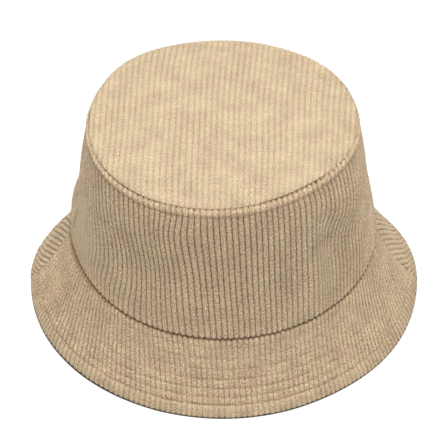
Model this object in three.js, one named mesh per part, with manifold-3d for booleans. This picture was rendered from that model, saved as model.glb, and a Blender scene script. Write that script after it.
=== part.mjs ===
import * as THREE from 'three';
import { mergeVertices } from 'three/addons/utils/BufferGeometryUtils.js';
import Module from 'manifold-3d';

// A lined bucket hat. Units are millimetres, +Z is up and the front of the hat faces -Y.
// The origin is at the centre of the plane that the brim's edge stands on.
//
// The hat is drawn first as a round hat: every piece is a layer at some depth under the outer
// skin, revolved about Z. Pieces are then cut at their seams, and toHeadShape() bends the whole
// assembly into the oval of a head, with the brim's sides a little higher than its front and back.

// ---- Driving dimensions ----

const HEAD_WIDTH = 181;            // across the crown's outer skin at the headline
const HEAD_LENGTH = 198;           // front to back at the headline
const HEADLINE_HEIGHT = 45.5;      // crown and brim seam above the resting plane
const BRIM_DIAMETER = 232.8;       // across the brim's edge
const BRIM_SIDE_LIFT = 4.6;        // the brim's edge at the sides above its front and back
const BRIM_FLARE = 2.3;            // how far the brim's curve dips under a straight slope
const TIP_DIAMETER = 156.6;        // across the seam of tip and band
const TIP_HEIGHT = 127;            // tip seam above the resting plane
const TIP_DOME = 8;                // rise of the tip from its seam to its middle
const TIP_SHIFT = -2.2;            // the tip sits slightly forward of the headline
const BAND_BULGE = 1;              // outward bulge of the band halfway up

const GAP = 0.3;                   // between pieces that are sewn together
const CORDUROY = 1.5;
const INTERLINING = 0.8;
const UNDER_CLOTH = 1.1;
const UPSTAND_CLOTH = 0.9;         // cloth pressed thin inside the headline seam
const LINING = 0.5;
const SWEATBAND = 0.8;
const LABEL = 0.5;
const THREAD_RADIUS = 0.3;

const UPSTAND_HEIGHT = 10;         // seam allowance of the brim inside the band
const TIP_ALLOWANCE = 8;           // seam allowance of the tip inside the band
const SWEATBAND_HEIGHT = 32;
const LABEL_WIDTH = 34;
const LABEL_HEIGHT = 20;
const LABEL_FOOT = 8;              // label's lower edge above the headline

const TIP_STITCH_DROP = 6;         // topstitching below the tip seam
const SWEATBAND_STITCH_RISE = 3;
const BRIM_ROWS = 7;
const FIRST_ROW = 6.4;             // first row below the headline
const FIRST_ROW_STEP = 7.2;        // distance to the second row
const ROW_STEP_LOSS = 0.5;         // each further step is this much shorter
const GROOVE_HALF_WIDTH = 1.1;     // the dent that a row of stitches pulls into corduroy
const GROOVE_DEPTH = 0.95;
const THREAD_DEPTH = 0.12;         // centre of the thread under the outer skin

const SEGMENTS = 40;               // facets round the hat
const FLAT_SECTOR = THREE.MathUtils.degToRad(18);   // front and back of the brim lie flat to here
const MERGE_TOLERANCE = 1e-4;

// ---- Depths of the layers under the outer skin ----

const ALLOWANCE_TOP = CORDUROY + GAP;
const UNDER_UPSTAND_TOP = ALLOWANCE_TOP + UPSTAND_CLOTH + GAP;
const LINING_TOP = UNDER_UPSTAND_TOP + UPSTAND_CLOTH + GAP;
const SWEATBAND_TOP = LINING_TOP + LINING + GAP;
const LABEL_TOP = SWEATBAND_TOP + SWEATBAND + GAP;
const LABEL_THREAD_DEPTH = LABEL_TOP + LABEL + GAP + THREAD_RADIUS;
const INTERLINING_TOP = CORDUROY + GAP;
const UNDER_TOP = INTERLINING_TOP + INTERLINING + GAP;

// ---- Curves of the outer skin, as radius and height, from the top down ----

const headRadius = (HEAD_WIDTH + HEAD_LENGTH) / 4;
const headOval = (HEAD_LENGTH - HEAD_WIDTH) / (HEAD_LENGTH + HEAD_WIDTH);
const brimRadius = BRIM_DIAMETER / 2;
const tipRadius = TIP_DIAMETER / 2;

const tipCentre = new THREE.Vector2(0, TIP_HEIGHT + TIP_DOME);
const tipSeam = new THREE.Vector2(tipRadius, TIP_HEIGHT);
const headline = new THREE.Vector2(headRadius, HEADLINE_HEIGHT);
const brimEdge = new THREE.Vector2(brimRadius, 0);

// A gentle arc from one point to another whose middle stands off the straight line.
function bowedCurve(from, to, standOff) {
  const along = to.clone().sub(from).normalize();
  const outward = new THREE.Vector2(-along.y, along.x);
  const control = from.clone().lerp(to, 0.5).addScaledVector(outward, 2 * standOff);
  return new THREE.QuadraticBezierCurve(from, control, to);
}

const domeControl = new THREE.Vector2(0.65 * tipRadius, tipCentre.y);
const tipCurve = new THREE.QuadraticBezierCurve(tipCentre, domeControl, tipSeam);
const bandCurve = bowedCurve(tipSeam, headline, BAND_BULGE);
const brimCurve = bowedCurve(headline, brimEdge, -BRIM_FLARE);

// The point at a distance along a curve and a depth under it.
function under(curve, distance, depth) {
  const share = distance / curve.getLength();
  const point = curve.getPointAt(share);
  const tangent = curve.getTangentAt(share);
  return new THREE.Vector2(point.x + depth * tangent.y, point.y - depth * tangent.x);
}

// The foot of a brim layer, where it meets the resting plane.
function brimFoot(depth) {
  const foot = under(brimCurve, brimCurve.getLength(), depth);
  const tangent = brimCurve.getTangentAt(1);
  return foot.addScaledVector(tangent, -foot.y / tangent.y);
}

// A run of points along a curve at one depth.
function run(curve, from, to, depth, steps) {
  const points = [];
  for (let i = 0; i <= steps; i += 1) {
    points.push(under(curve, from + (to - from) * i / steps, depth));
  }
  return points;
}

// The profile of a plain strip of cloth between two distances along a curve.
function strip(curve, from, to, top, thickness, steps) {
  const outer = run(curve, from, to, top, steps);
  const inner = run(curve, to, from, top + thickness, steps);
  return [...outer, ...inner];
}

// The dent of one stitch row in an outer skin.
function groove(curve, distance) {
  return [
    under(curve, distance - GROOVE_HALF_WIDTH, 0),
    under(curve, distance, GROOVE_DEPTH),
    under(curve, distance + GROOVE_HALF_WIDTH, 0),
  ];
}

const bandLength = bandCurve.getLength();
const brimLength = brimCurve.getLength();
const tipLength = tipCurve.getLength();

// Distances of the brim's stitch rows below the headline, closer together towards the edge.
const brimRowDistances = [];
for (let row = 0; row < BRIM_ROWS; row += 1) {
  const shortening = ROW_STEP_LOSS * row * (row - 1) / 2;
  brimRowDistances.push(FIRST_ROW + FIRST_ROW_STEP * row - shortening);
}

// ---- Solids ----

const wasm = await Module();
wasm.setup();

// One closed mesh with shared vertices, without the slivers that a pole on the axis leaves.
function toSolid(geometry) {
  const bare = geometry.clone();
  bare.deleteAttribute('normal');
  bare.deleteAttribute('uv');
  const merged = mergeVertices(bare, MERGE_TOLERANCE);
  const index = merged.index.array;
  const triVerts = [];
  for (let i = 0; i < index.length; i += 3) {
    const [a, b, c] = [index[i], index[i + 1], index[i + 2]];
    if (a !== b && b !== c && c !== a) triVerts.push(a, b, c);
  }
  return new wasm.Manifold(new wasm.Mesh({
    numProp: 3,
    vertProperties: new Float32Array(merged.attributes.position.array),
    triVerts: new Uint32Array(triVerts),
  }));
}

function toGeometry(solid) {
  const mesh = solid.getMesh();
  const geometry = new THREE.BufferGeometry();
  geometry.setAttribute('position', new THREE.BufferAttribute(mesh.vertProperties, 3));
  geometry.setIndex(new THREE.BufferAttribute(mesh.triVerts, 1));
  return geometry;
}

// A round piece from its profile. Point order runs down the outside and up the inside.
function revolve(profile) {
  const points = [...profile].reverse();
  const onAxis = profile[0].x < MERGE_TOLERANCE;
  if (!onAxis) points.push(points[0]);
  const lathe = new THREE.LatheGeometry(points, SEGMENTS);
  lathe.rotateX(Math.PI / 2);
  return toSolid(lathe);
}

function block(low, high) {
  const size = high.clone().sub(low);
  const box = new THREE.BoxGeometry(size.x, size.y, size.z);
  box.translate(low.x + size.x / 2, low.y + size.y / 2, low.z + size.z / 2);
  return toSolid(box);
}

const REACH = 2 * brimRadius;

function frontHalf(solid) {
  return solid.intersect(block(
    new THREE.Vector3(-REACH, -REACH, -REACH),
    new THREE.Vector3(REACH, -GAP / 2, REACH),
  ));
}

function backHalf(solid) {
  return solid.intersect(block(
    new THREE.Vector3(-REACH, GAP / 2, -REACH),
    new THREE.Vector3(REACH, REACH, REACH),
  ));
}

// The part of a solid at the centre back between two places left and right.
function backStretch(solid, left, right) {
  return solid.intersect(block(
    new THREE.Vector3(left, 0, -REACH),
    new THREE.Vector3(right, REACH, REACH),
  ));
}

// ---- From the round hat to the head's oval ----

const sectorEnd = Math.sin(FLAT_SECTOR) ** 2;

function brimLift(x, y) {
  const sideways = x * x / Math.max(x * x + y * y, MERGE_TOLERANCE);
  return BRIM_SIDE_LIFT * Math.max(0, (sideways - sectorEnd) / (1 - sectorEnd));
}

function toHeadShape(geometry) {
  const position = geometry.attributes.position;
  for (let i = 0; i < position.count; i += 1) {
    const x = position.getX(i);
    const y = position.getY(i);
    const z = position.getZ(i);
    const down = THREE.MathUtils.clamp(1 - z / HEADLINE_HEIGHT, 0, 1);
    const up = THREE.MathUtils.clamp((z - HEADLINE_HEIGHT) / (TIP_HEIGHT - HEADLINE_HEIGHT), 0, 1);
    const oval = headOval * (1 - down) * (1 - up);
    position.setXYZ(i, x * (1 - oval), y * (1 + oval) + TIP_SHIFT * up, z + brimLift(x, y) * down);
  }
  return geometry;
}

// ---- Materials ----

function cloth(colour, roughness) {
  return new THREE.MeshStandardMaterial({ color: colour, roughness, metalness: 0 });
}

const CORDUROY_BEIGE = 0xb79f7d;
const THREAD_BEIGE = 0xc4ae8c;
const CLOTH_OLIVE = 0x4a4335;
const INTERLINING_WHITE = 0xe8e4da;
const SWEATBAND_BROWN = 0x5a5040;
const LABEL_WHITE = 0xe9e6df;

// ---- Sub-parts ----

const hat = new THREE.Group();

function addPiece(name, solid, colour, roughness = 0.95) {
  const mesh = new THREE.Mesh(toHeadShape(toGeometry(solid)), cloth(colour, roughness));
  mesh.name = name;
  hat.add(mesh);
}

function addHalves(name, ring, colour) {
  addPiece(`${name}_front`, frontHalf(ring), colour);
  addPiece(`${name}_back`, backHalf(ring), colour);
}

// The top panel wraps over the band's upper edge, and its allowance hangs inside the band.
function tipRing() {
  const shoulder = CORDUROY;
  const innerFace = ALLOWANCE_TOP + UPSTAND_CLOTH;
  return revolve([
    ...run(tipCurve, 0, tipLength, 0, 6),
    under(bandCurve, shoulder, 0),
    under(bandCurve, shoulder, ALLOWANCE_TOP),
    under(bandCurve, TIP_ALLOWANCE, ALLOWANCE_TOP),
    under(bandCurve, TIP_ALLOWANCE, innerFace),
    under(bandCurve, shoulder, innerFace),
    ...run(tipCurve, tipLength - innerFace - CORDUROY, 0, CORDUROY, 5),
  ]);
}

// The side band, from under the tip's edge to the headline.
function bandRing() {
  const top = CORDUROY + GAP;
  const bottom = bandLength - GAP;
  const lowerStart = TIP_STITCH_DROP + 3 * GROOVE_HALF_WIDTH;
  return revolve([
    under(bandCurve, top, 0),
    ...groove(bandCurve, TIP_STITCH_DROP),
    ...run(bandCurve, lowerStart, bottom, 0, 5),
    ...run(bandCurve, bottom, top, CORDUROY, 5),
  ]);
}

// The brim's upper cloth: an upstand inside the band, a shelf under it, and the grooved slope.
function brimTopRing() {
  const upstandTop = bandLength - UPSTAND_HEIGHT;
  const lastRow = brimRowDistances[BRIM_ROWS - 1];
  return revolve([
    under(bandCurve, upstandTop, ALLOWANCE_TOP),
    under(bandCurve, bandLength, ALLOWANCE_TOP),
    under(brimCurve, 0, 0),
    ...brimRowDistances.flatMap((distance) => groove(brimCurve, distance)),
    brimFoot(0),
    brimFoot(CORDUROY),
    ...run(brimCurve, lastRow, 3, CORDUROY, 4),
    under(bandCurve, bandLength, ALLOWANCE_TOP + UPSTAND_CLOTH),
    under(bandCurve, upstandTop, ALLOWANCE_TOP + UPSTAND_CLOTH),
  ]);
}

// The stiffener lies between the brim's cloths, short of the headline and of the edge.
function interliningRing() {
  return revolve(strip(brimCurve, 4, brimLength - 5, INTERLINING_TOP, INTERLINING, 5));
}

// The brim's under cloth, with its upstand inside that of the upper cloth.
function brimUnderRing() {
  const upstandTop = bandLength - UPSTAND_HEIGHT;
  const lastRow = brimRowDistances[BRIM_ROWS - 1];
  return revolve([
    under(bandCurve, upstandTop, UNDER_UPSTAND_TOP),
    under(bandCurve, bandLength, UNDER_UPSTAND_TOP),
    ...run(brimCurve, 3, lastRow, UNDER_TOP, 4),
    brimFoot(UNDER_TOP),
    brimFoot(UNDER_TOP + UNDER_CLOTH),
    ...run(brimCurve, lastRow, 3, UNDER_TOP + UNDER_CLOTH, 4),
    under(bandCurve, bandLength, UNDER_UPSTAND_TOP + UPSTAND_CLOTH),
    under(bandCurve, upstandTop, UNDER_UPSTAND_TOP + UPSTAND_CLOTH),
  ]);
}

function liningTipDisc() {
  const rim = tipLength - LINING_TOP;
  return revolve([
    ...run(tipCurve, 0, rim, LINING_TOP, 4),
    ...run(tipCurve, rim, 0, LINING_TOP + LINING, 4),
  ]);
}

function liningBandRing() {
  return revolve(strip(bandCurve, 6, bandLength - 2, LINING_TOP, LINING, 4));
}

// The sweatband is one strip whose ends meet at the centre back.
function sweatbandStrip() {
  const top = bandLength - SWEATBAND_HEIGHT;
  const ring = revolve(strip(bandCurve, top, bandLength, SWEATBAND_TOP, SWEATBAND, 3));
  return ring.subtract(block(
    new THREE.Vector3(-GAP / 2, 0, -REACH),
    new THREE.Vector3(GAP / 2, REACH, REACH),
  ));
}

function labelPatch() {
  const bottom = bandLength - LABEL_FOOT;
  const ring = revolve(strip(bandCurve, bottom - LABEL_HEIGHT, bottom, LABEL_TOP, LABEL, 1));
  return backStretch(ring, -LABEL_WIDTH / 2, LABEL_WIDTH / 2);
}

// One row of thread: a slim ring with a square section, on edge.
function threadRing(curve, distance, depth) {
  return revolve([
    under(curve, distance, depth - THREAD_RADIUS),
    under(curve, distance + THREAD_RADIUS, depth),
    under(curve, distance, depth + THREAD_RADIUS),
    under(curve, distance - THREAD_RADIUS, depth),
  ]);
}

// A short upright line of thread on the label, near one of its ends.
function labelStitch(side) {
  const bottom = bandLength - LABEL_FOOT - 1;
  const top = bottom - LABEL_HEIGHT + 2;
  const depth = LABEL_THREAD_DEPTH - THREAD_RADIUS;
  const ring = revolve(strip(bandCurve, top, bottom, depth, 2 * THREAD_RADIUS, 1));
  const centre = side * (LABEL_WIDTH / 2 - 2);
  return backStretch(ring, centre - THREAD_RADIUS, centre + THREAD_RADIUS);
}

addPiece('crown_tip', tipRing(), CORDUROY_BEIGE);
addHalves('crown_band', bandRing(), CORDUROY_BEIGE);
addHalves('brim_top', brimTopRing(), CORDUROY_BEIGE);
addHalves('brim_interlining', interliningRing(), INTERLINING_WHITE);
addHalves('brim_under', brimUnderRing(), CLOTH_OLIVE);
addPiece('lining_tip', liningTipDisc(), CLOTH_OLIVE);
addHalves('lining_band', liningBandRing(), CLOTH_OLIVE);
addPiece('sweatband', sweatbandStrip(), SWEATBAND_BROWN);
addPiece('care_label', labelPatch(), LABEL_WHITE);
addPiece('tip_topstitch', threadRing(bandCurve, TIP_STITCH_DROP, THREAD_DEPTH), THREAD_BEIGE, 0.8);
brimRowDistances.forEach((distance, row) => {
  addPiece(`brim_stitch_${row + 1}`, threadRing(brimCurve, distance, THREAD_DEPTH), THREAD_BEIGE, 0.8);
});
const sweatbandStitchDepth = SWEATBAND_TOP + SWEATBAND + GAP + THREAD_RADIUS;
addPiece(
  'sweatband_stitch',
  threadRing(bandCurve, bandLength - SWEATBAND_STITCH_RISE, sweatbandStitchDepth),
  SWEATBAND_BROWN,
  0.8,
);
addPiece('label_stitch_left', labelStitch(-1), LABEL_WHITE, 0.8);
addPiece('label_stitch_right', labelStitch(1), LABEL_WHITE, 0.8);

export default hat;
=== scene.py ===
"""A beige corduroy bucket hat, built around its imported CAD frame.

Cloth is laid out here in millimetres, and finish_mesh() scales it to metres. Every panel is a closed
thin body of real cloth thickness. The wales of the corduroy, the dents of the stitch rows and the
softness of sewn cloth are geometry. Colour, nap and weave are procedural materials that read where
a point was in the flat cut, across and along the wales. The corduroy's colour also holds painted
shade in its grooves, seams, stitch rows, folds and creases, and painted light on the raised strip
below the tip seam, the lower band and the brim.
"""
import math
from types import SimpleNamespace

import bpy
import numpy as np
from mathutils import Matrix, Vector


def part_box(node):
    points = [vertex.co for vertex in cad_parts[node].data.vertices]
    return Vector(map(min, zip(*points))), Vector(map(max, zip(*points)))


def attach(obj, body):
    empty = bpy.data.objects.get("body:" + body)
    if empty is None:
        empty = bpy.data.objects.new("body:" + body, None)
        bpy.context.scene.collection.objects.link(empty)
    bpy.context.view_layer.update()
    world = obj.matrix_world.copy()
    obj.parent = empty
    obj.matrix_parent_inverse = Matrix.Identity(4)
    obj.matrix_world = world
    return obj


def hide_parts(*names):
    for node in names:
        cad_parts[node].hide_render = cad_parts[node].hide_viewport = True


MM = 0.001

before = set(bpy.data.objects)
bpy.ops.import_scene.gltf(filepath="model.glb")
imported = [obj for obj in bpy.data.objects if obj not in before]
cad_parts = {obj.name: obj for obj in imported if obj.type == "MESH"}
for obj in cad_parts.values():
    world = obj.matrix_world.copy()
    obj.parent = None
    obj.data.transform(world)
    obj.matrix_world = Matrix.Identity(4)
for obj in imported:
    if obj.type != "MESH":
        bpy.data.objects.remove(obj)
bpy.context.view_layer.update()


# ---- Sizes, from the frame, in millimetres ----

def node_box(node):
    """The low and high corners of a CAD node."""
    low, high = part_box(node)
    return np.array(low) / MM, np.array(high) / MM


SEAM_GAP = 0.3  # what the CAD keeps between pieces sewn together
CORDUROY = 1.5
INTERLINING = 0.8
UNDER_CLOTH = 1.1
UPSTAND_CLOTH = 0.9  # each of the brim's two cloths, pressed thin inside the headline
LINING = 0.5
SWEATBAND = 0.8
LABEL = 0.5
TIP_DOME = 8.0
TIP_SHIFT = -2.2
BAND_BULGE = 1.0
BRIM_FLARE = 2.3
SIDE_LIFT = 4.6  # the brim's edge at the sides stands above its front and back
FLAT_SECTOR = math.radians(18)  # the brim lies flat to this far from its front and back

band_low, band_high = node_box("crown_band_front")
back_high = node_box("crown_band_back")[1]
tip_high = node_box("crown_tip")[1]
brim_high = node_box("brim_top_front")[1]
label_low, label_high = node_box("care_label")

HEAD_WIDTH = band_high[0] - band_low[0]
HEAD_LENGTH = back_high[1] - band_low[1]
HEAD_RADIUS = (HEAD_WIDTH + HEAD_LENGTH) / 4
OVAL = (HEAD_LENGTH - HEAD_WIDTH) / (HEAD_LENGTH + HEAD_WIDTH)
HEADLINE = band_low[2] - SEAM_GAP
BRIM_RADIUS = brim_high[0]
TIP_RADIUS = tip_high[0] - SEAM_GAP
TIP_HEIGHT = tip_high[2] - TIP_DOME

UNDER_TOP = CORDUROY + SEAM_GAP + INTERLINING + SEAM_GAP
UNDER_FACE = UNDER_TOP + UNDER_CLOTH
LINING_TOP = CORDUROY + SEAM_GAP + 2 * (UPSTAND_CLOTH + SEAM_GAP)
LINING_FACE = LINING_TOP + LINING
SWEATBAND_TOP = LINING_FACE + SEAM_GAP
SWEATBAND_FACE = SWEATBAND_TOP + SWEATBAND
LABEL_TOP = SWEATBAND_FACE + SEAM_GAP
LABEL_FACE = LABEL_TOP + LABEL

SWEATBAND_HEIGHT = 32.0
SWEATBAND_STITCH_RISE = 3.0
TIP_STITCH_DROP = 6.0
BRIM_ROWS = 7
FIRST_ROW = 6.4
FIRST_ROW_STEP = 7.2
ROW_STEP_LOSS = 0.5

WALE_PITCH = 3.4
WALE_FULLNESS = 0.28  # 1 is a round wale, less is a fuller one with a narrower groove
GROOVE_ROUNDING = 0.004
QUARTER_TURN = math.pi / 2


# ---- The outer skin: radius and height by distance down three curves ----

class SkinCurve:
    """A bowed line in radius and height, read by distance from its upper end."""

    def __init__(self, start, control, end):
        share = np.linspace(0, 1, 401)[:, None]
        start, control, end = np.array(start), np.array(control), np.array(end)
        self.path = (1 - share) ** 2 * start + 2 * share * (1 - share) * control + share ** 2 * end
        steps = np.linalg.norm(np.diff(self.path, axis=0), axis=1)
        self.distance = np.concatenate([[0], np.cumsum(steps)])
        self.length = self.distance[-1]
        tangent = np.gradient(self.path, self.distance, axis=0)
        self.tangent = tangent / np.linalg.norm(tangent, axis=1, keepdims=True)

    def at(self, distance, depth):
        """Radius and height at a distance down the curve and a depth under it, both arrays."""
        beyond = distance - np.clip(distance, 0, self.length)
        radius, height, along, down = (
            np.interp(distance, self.distance, column)
            for column in (*self.path.T, *self.tangent.T)
        )
        return radius + depth * down + beyond * along, height - depth * along + beyond * down


def bowed(start, end, stand_off):
    """A curve whose middle stands off the straight line."""
    start, end = np.array(start), np.array(end)
    along = (end - start) / np.linalg.norm(end - start)
    outward = np.array([-along[1], along[0]])
    return SkinCurve(start, (start + end) / 2 + 2 * stand_off * outward, end)


tip_top = (0.0, TIP_HEIGHT + TIP_DOME)
tip_seam = (TIP_RADIUS, TIP_HEIGHT)
TIP_CURVE = SkinCurve(tip_top, (0.65 * TIP_RADIUS, TIP_HEIGHT + TIP_DOME), tip_seam)
BAND_CURVE = bowed(tip_seam, (HEAD_RADIUS, HEADLINE), BAND_BULGE)
BRIM_CURVE = bowed((HEAD_RADIUS, HEADLINE), (BRIM_RADIUS, 0.0), -BRIM_FLARE)

BRIM_ROW_DISTANCES = [
    FIRST_ROW + FIRST_ROW_STEP * row - ROW_STEP_LOSS * row * (row - 1) / 2
    for row in range(BRIM_ROWS)
]
HEM_ROW = BRIM_ROW_DISTANCES[-1]


# ---- Softness of sewn cloth ----

def bump_at(value, centre, width):
    """A smooth hump of height 1."""
    return np.exp(-((value - centre) / width) ** 2)


def step_at(value, centre, width):
    """A smooth step from 0 to 1."""
    return 0.5 + 0.5 * np.tanh((value - centre) / width)


def turn_from(phi, centre):
    """How far round the hat, in degrees, an angle is from a centre in degrees."""
    return (np.degrees(phi) - centre + 180) % 360 - 180


def near(phi, centre, width):
    """1 at a place round the hat, fading over a width. Both are in degrees."""
    return bump_at(turn_from(phi, centre), 0, width)


def patches(phi, share, places):
    """Adds up patches: place and width in degrees, level and half height as shares, strength."""
    total = 0 * (phi + share)
    for centre, width, level, tall, strength in places:
        total = total + strength * near(phi, centre, width) * bump_at(share, level, tall)
    return total


RIPPLE_WAVES = 7
RIPPLE_HEIGHT = 3.2  # about how high so many waves add up


def ripple(across, along, wavelength, seed):
    """A smooth, seeded unevenness of about -1 to 1."""
    draw = np.random.default_rng(seed)
    total = 0
    for _ in range(RIPPLE_WAVES):
        heading = draw.uniform(0, math.pi)
        wave = 2 * math.pi / (wavelength * draw.uniform(0.7, 1.6))
        phase = draw.uniform(0, 2 * math.pi)
        total = total + np.sin(
            wave * (across * math.cos(heading) + along * math.sin(heading)) + phase
        )
    return total / RIPPLE_HEIGHT


# Where the soft crown stands out or is pushed in: place and width in degrees, level and half height as
# shares of the crown, and how far out, in millimetres. patches() reads such tables.
CROWN_DENTS = [
    (-38, 21, 0.76, 0.13, 1.0), (-38, 21, 0.44, 0.14, -1.3),
    (57, 15, 0.74, 0.11, 1.2), (57, 15, 0.44, 0.13, -1.5),
    (-88, 26, 0.45, 0.22, -0.9), (92, 26, 0.50, 0.22, -0.8), (0, 40, 0.42, 0.20, -0.8),
    (-86, 5, 0.32, 0.11, -1.7), (-100, 10, 0.17, 0.12, 2.1), (-68, 18, 0.00, 0.10, -1.3),
    (150, 24, 0.70, 0.14, 1.0), (150, 24, 0.38, 0.15, -1.2),
    (-132, 20, 0.66, 0.14, 1.0), (-132, 20, 0.32, 0.15, -1.3),
]
# Where the wales bend: the same, with how far they move towards the wearer's left on the way down.
WALE_BENDS = [
    (-20, 9, 0.85, 0.07, -3.0), (-22, 11, 0.58, 0.11, 0.9), (-38, 9, 0.14, 0.11, -4.0),
    (-55, 15, 0.20, 0.10, -6.5), (46, 12, 0.92, 0.05, 3.0),
    (150, 22, 0.55, 0.10, 2.4), (-132, 20, 0.48, 0.10, -2.6),
]
# The sharp fold on the wearer's left, which runs back to the side seam. Places round the hat are in
# degrees, and levels are shares of the band.
FOLD_FROM, FOLD_FROM_WIDTH = 42.5, 2.6
FOLD_TO = 90
FOLD_LEVEL, FOLD_HALF_HEIGHT = 0.71, 0.085
FOLD_FALL = 0.010  # how far its level falls for each degree
FOLD_MOVE = 7.6  # how far it moves the wales below it, in millimetres
# Where the wales close up, or open out if negative: place and width in degrees, and millimetres.
WALE_GATHERS = {
    "band_front": [(-57, 18, -8.5), (62, 13, -8.5)],
    "brim_front": [(-53, 22, 16), (50, 25, 11)],
}
# Where the tip seam is pulled off its circle: place and width in degrees, out and up in millimetres.
TIP_PULLS = [
    (-42, 32, 1.5, -1.6), (40, 30, -1.8, 1.8), (-137, 23, 2.2, 1.0), (128, 22, 1.6, 0.3),
]
# Where the brim's edge leaves its circle: place and width in degrees, out in millimetres.
BRIM_PULLS = [
    (-80, 12, -0.8), (0, 28, 1.7), (-50, 20, 0.7), (50, 20, 1.1), (102, 15, 1.0), (-124, 22, -1.6),
    (122, 22, -0.6),
]
# Where sewing has dragged the brim's wales: place and width in degrees, and how far they move to the
# wearer's right for each millimetre outwards.
BRIM_DRAGS = [(-66, 14, 0.15), (-22, 20, -0.08), (62, 24, 0.08)]
# Below the last stitch row the hem's wales run square to the edge at 0 and straight on at 1.
HEM_TURN = {"front": 1.0, "back": 1.6}

# Single places of the side band and brim: place and width in degrees.
TUCK = (43.5, 0.7)  # a small tuck in the tip seam
CLOSED_SEAM = (52, 24)  # the tip seam's edges press together
SHADED_GROOVES = (64, 15)  # painted shade in the side band's grooves is darkest here
PALE_SIDE = (74, 16)  # the side band is painted paler here
CALM_SIDE = (42, 22)  # the side band's grooves are a little softer
BRIM_HIGH_WALES = (-78, 28)  # the brim's wales stand highest, and their grooves get more painted shade
BRIM_SHADED_GROOVES = (70, 24)  # painted shade in the brim's grooves is darker here
WIDE_CREASE_SHADE = (-72, 22)  # the painted shade of the crease between crown and brim is widest
FULL_BEAD = (-42, 18)  # the under cloth's rolled edge is fullest
# Places of the side band, as patches() reads them.
BRUSHED = [  # the pile is brushed flat over the grooves
    (-73, 15, 0.31, 0.25, 0.98), (89, 12, 0.72, 0.33, 0.64), (FOLD_FROM, 3.2, 0.36, 0.30, 0.70),
]
HIGH_WALES = [(62, 12, 0.58, 0.16, 0.8)]
PINCH = [(-82, 1.8, 0.24, 0.12, 1.0)]  # a short pinch by the side seam on the wearer's right


def crown_share(height):
    """0 at the headline and 1 at the tip seam."""
    return (height - HEADLINE) / (TIP_HEIGHT - HEADLINE)


def softness(phi, height):
    """How far the cloth stands outside the even surface, in millimetres."""
    share = crown_share(height)
    crown = step_at(share, 0.04, 0.06) * (1 - step_at(share, 0.95, 0.04))
    out = 0.35 * ripple(phi * HEAD_RADIUS, height, 60, 11) * crown
    out = out + patches(phi, share, CROWN_DENTS)
    edge = 0.4 * ripple(phi * BRIM_RADIUS, 0 * height, 130, 12)
    for centre, width, outward in BRIM_PULLS:
        edge = edge + outward * near(phi, centre, width)
    return out + edge * np.clip(1 - height / HEADLINE, 0, 1)


def fold_draw(phi, share):
    """How far the sharp fold moves the wales below it, in millimetres."""
    turn = turn_from(phi, 0)
    inside = step_at(turn, FOLD_FROM, FOLD_FROM_WIDTH) * (turn < FOLD_TO)
    level = FOLD_LEVEL - FOLD_FALL * (turn - FOLD_FROM)
    return FOLD_MOVE * inside * (1 - step_at(share, level, FOLD_HALF_HEIGHT))


def wale_gather(panel, local):
    """How far a panel's wales have closed up towards its middle, in millimetres."""
    gathered = 0 * local
    for centre, width, moved in WALE_GATHERS.get(panel, []):
        gathered = gathered + moved * step_at(np.degrees(local), centre, width)
    return gathered


def wale_draw(phi, height):
    """How far the bends move the wales, in millimetres."""
    share = crown_share(height)
    drawn = 0.25 * ripple(phi * HEAD_RADIUS, height, 70, 13) + fold_draw(phi, share)
    for centre, width, level, tall, moved in WALE_BENDS:
        drawn = drawn - moved * near(phi, centre, width) * (1 - step_at(share, level, tall))
    return drawn


def brim_draw(phi, distance):
    """How far the drags move the wales of the brim, in millimetres."""
    drag = sum(pull * near(phi, centre, width) for centre, width, pull in BRIM_DRAGS)
    return drag * np.clip(distance, 0, HEM_ROW)


def tip_pull(phi):
    """How far the tip seam is pulled out and up at each angle."""
    out, up = 0 * phi, 0 * phi
    for centre, width, outward, upward in TIP_PULLS:
        pull = near(phi, centre, width)
        out, up = out + outward * pull, up + upward * pull
    return out, up


def place(curve, distance, depth, phi):
    """Points of the hat, in millimetres. phi is 0 at the front and grows towards +X."""
    distance, depth, phi = np.broadcast_arrays(distance, depth, phi)
    radius, height = curve.at(distance, depth)
    down = np.clip(1 - height / HEADLINE, 0, 1)
    up = np.clip(crown_share(height), 0, 1)
    pull_out, pull_up = tip_pull(phi)
    if curve is TIP_CURVE:
        pulled = np.clip(radius / TIP_RADIUS, 0, 1) ** 3
    else:
        pulled = up ** 3
        radius = radius + softness(phi, height)
    radius = radius + pulled * pull_out
    oval = OVAL * (1 - down) * (1 - up)
    x = radius * np.sin(phi) * (1 - oval)
    y = -radius * np.cos(phi) * (1 + oval) + TIP_SHIFT * up
    flat_end = math.sin(FLAT_SECTOR) ** 2
    side = np.clip((np.sin(phi) ** 2 - flat_end) / (1 - flat_end), 0, 1)
    side = np.where(np.cos(phi) < 0, side ** 4, side)
    return np.stack([x, y, height + SIDE_LIFT * side * down + pulled * pull_up], axis=-1)


# ---- Flat cuts: where a point of a panel was in the cloth before it was sewn ----

def half_arc(radius, oval):
    """Half the girth of a circle that is drawn out into an oval."""
    return math.pi * radius * math.sqrt(1 + oval ** 2)


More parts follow.
